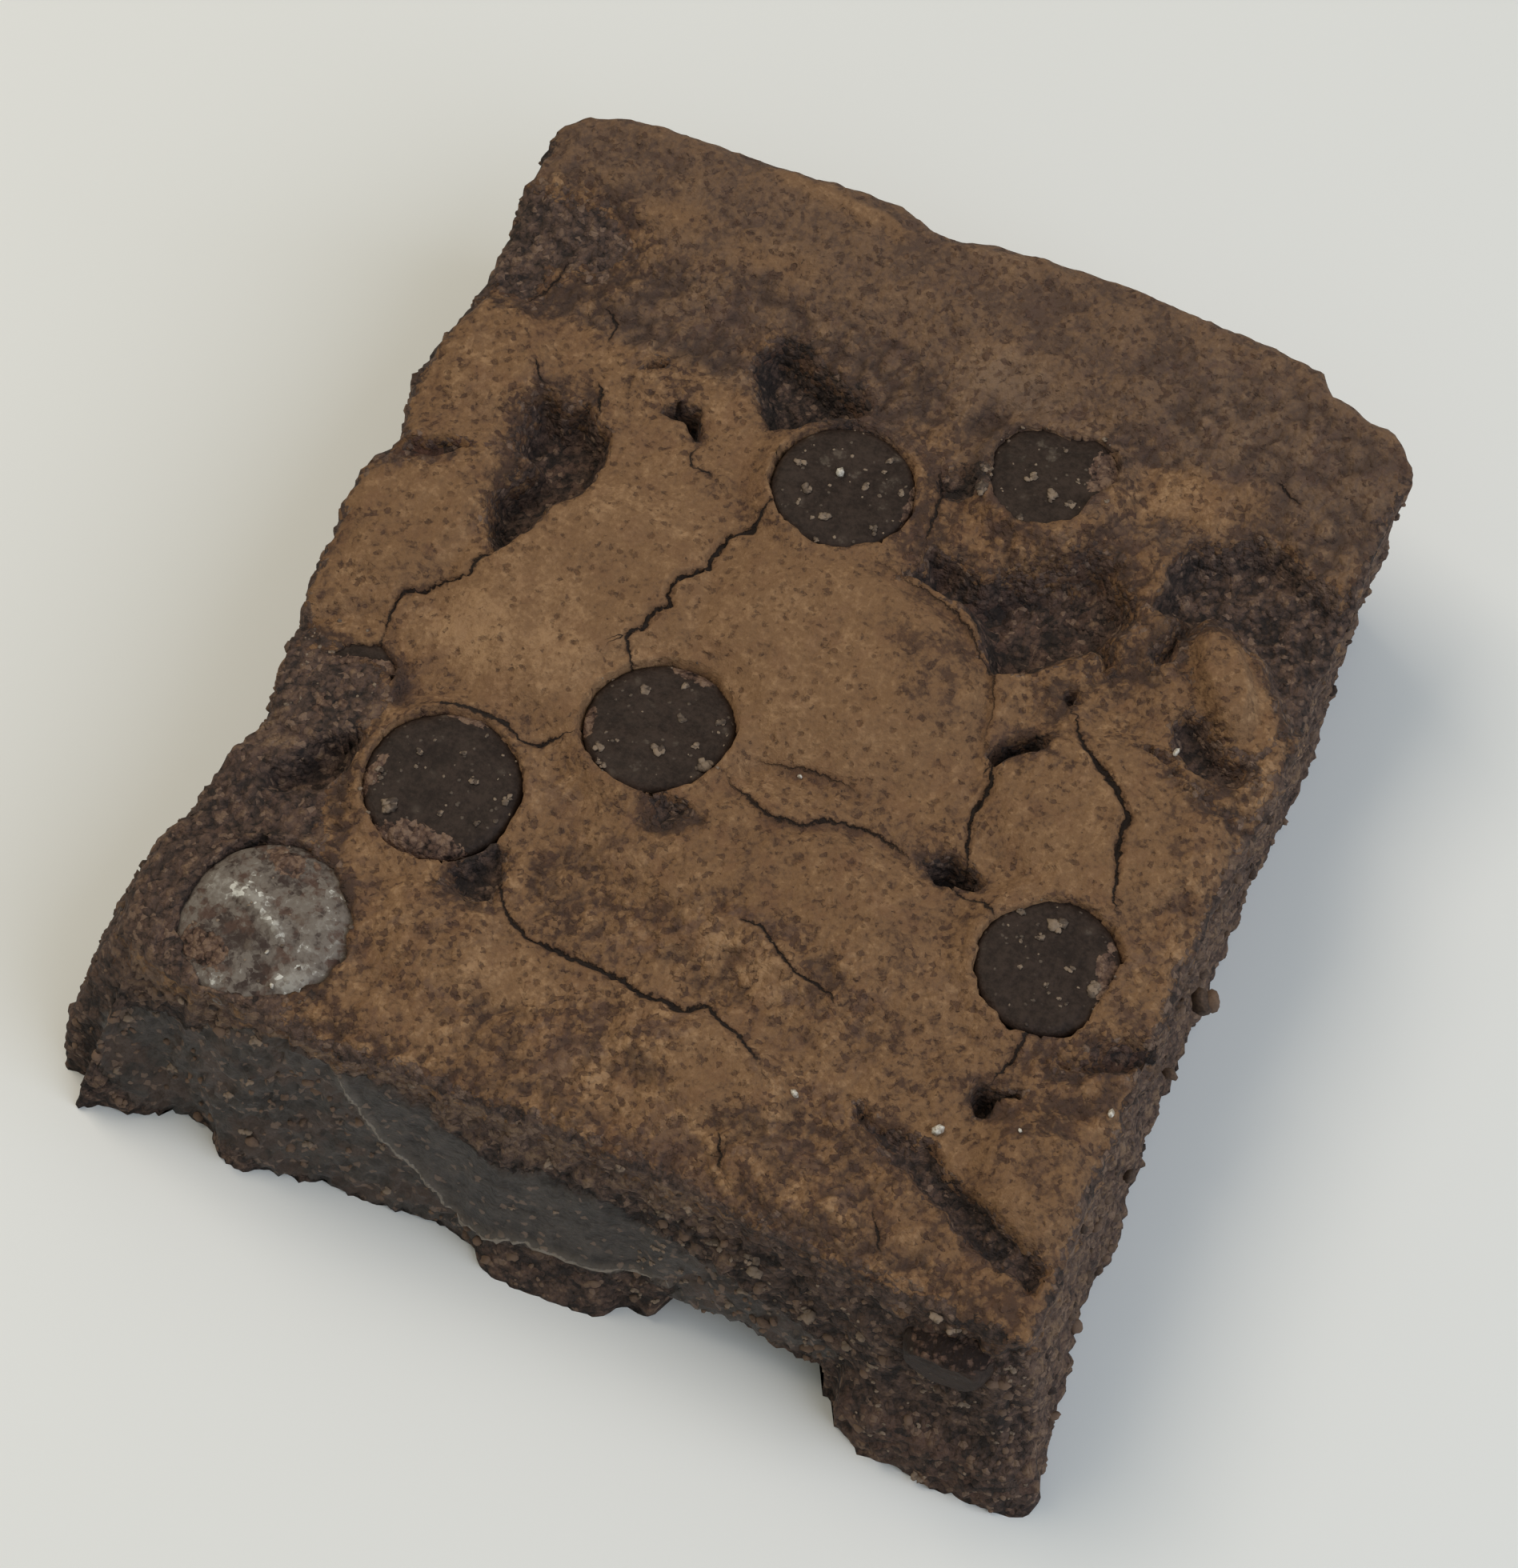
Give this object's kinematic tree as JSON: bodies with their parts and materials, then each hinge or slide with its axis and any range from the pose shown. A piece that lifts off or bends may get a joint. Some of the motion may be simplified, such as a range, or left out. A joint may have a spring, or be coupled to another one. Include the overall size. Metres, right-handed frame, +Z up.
{
  "type": "chocolate brownie",
  "caption": "Rectangular edge piece of chocolate chip brownie with a cracked matte crust, a pan-baked rim, three cut sides and baking chips set in its top.",
  "frame": {"origin": "middle of the base of the bounding box, on the surface the brownie rests on", "axes": "+Z up through the thickness; X along the front cut face; +Y towards the crust that baked against the pan"},
  "size_m": [0.0746, 0.0818, 0.0205],
  "materials": {
    "crumb": "dry matte baked crust over dark moist crumb",
    "chocolate": "satin dark chocolate",
    "bloomed_chocolate": "chocolate greyed by bloom, satin"
  },
  "bodies": {
    "root": {"brownie": "crumb", "chip_1": "chocolate", "chip_2": "chocolate", "chip_3": "chocolate", "chip_4": "chocolate", "chip_5": "chocolate", "chip_6": "bloomed_chocolate", "chip_7": "chocolate", "chip_cut": "chocolate"}
  },
  "joints": []
}
